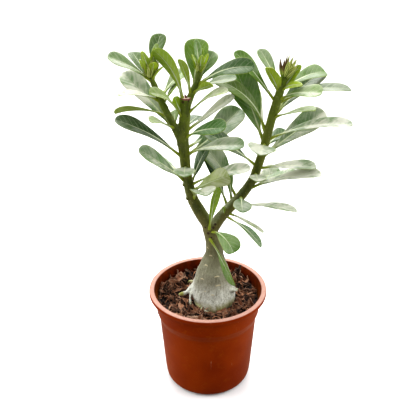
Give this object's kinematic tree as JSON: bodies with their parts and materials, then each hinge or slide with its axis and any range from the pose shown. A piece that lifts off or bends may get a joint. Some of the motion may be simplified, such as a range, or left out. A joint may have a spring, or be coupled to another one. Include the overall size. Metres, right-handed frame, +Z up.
{
  "type": "potted desert rose adenium",
  "caption": "Young desert rose with a swollen grey trunk, forked stems and glossy spoon-shaped leaves, rooted in bark mix in a terracotta-coloured plastic grow pot.",
  "frame": {"origin": "middle of the pot's flat base, where it stands on the floor", "axes": "+Z up along the pot's axis, -Y towards the picture's camera, +X to the right in the picture"},
  "size_m": [0.2127, 0.1333, 0.3639],
  "materials": {
    "pot_plastic": "satin",
    "potting_mix": "matte",
    "bark": "matte",
    "leaf": "satin",
    "young_leaf": "satin"
  },
  "bodies": {
    "root": {"pot": "pot_plastic", "potting_mix": "potting_mix", "trunk": "bark", "left_stem": "leaf", "left_shoot": "leaf", "left_tip": "young_leaf", "middle_shoot": "leaf", "middle_tip": "young_leaf", "right_stem": "leaf", "right_tip": "young_leaf", "fork_leaf_upright": "leaf", "fork_leaf_round": "leaf", "fork_leaf_hanging": "leaf"}
  },
  "joints": []
}
